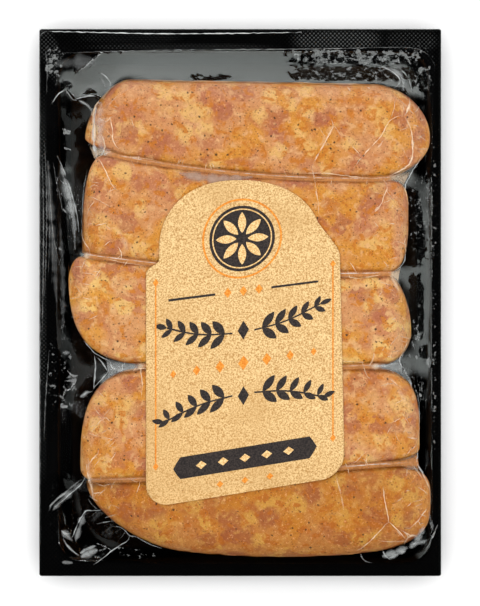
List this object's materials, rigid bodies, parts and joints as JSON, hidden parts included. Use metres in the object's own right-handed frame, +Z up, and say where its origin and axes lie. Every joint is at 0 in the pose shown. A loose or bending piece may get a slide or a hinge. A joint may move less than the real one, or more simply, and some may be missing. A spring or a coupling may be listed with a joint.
{
  "type": "vacuum pack of sausages",
  "caption": "Flat vacuum pack of fat fresh sausages lying side by side on a black formed tray under a clear film, with an arch-topped kraft paper label.",
  "frame": {"origin": "middle of the tray's flat underside, which is the middle of the base of the whole pack's box", "axes": "+X across the pack, along the sausages; +Y along the pack, towards the label's arched top; +Z up, out of the clear window"},
  "size_m": [0.1306, 0.1778, 0.0304],
  "materials": {
    "tray_plastic": "glossy black formed film with a finely knurled flange",
    "sausage_meat": "moist coarse-cut meat and fat under a thin natural casing",
    "film_plastic": "clear glossy film with creases",
    "label_paper": "matt speckled kraft paper"
  },
  "bodies": {
    "root": {"tray": "tray_plastic", "sausage_1": "sausage_meat", "sausage_2": "sausage_meat", "sausage_3": "sausage_meat", "sausage_4": "sausage_meat", "sausage_5": "sausage_meat", "clear_film": "film_plastic", "label": "label_paper"}
  },
  "joints": []
}
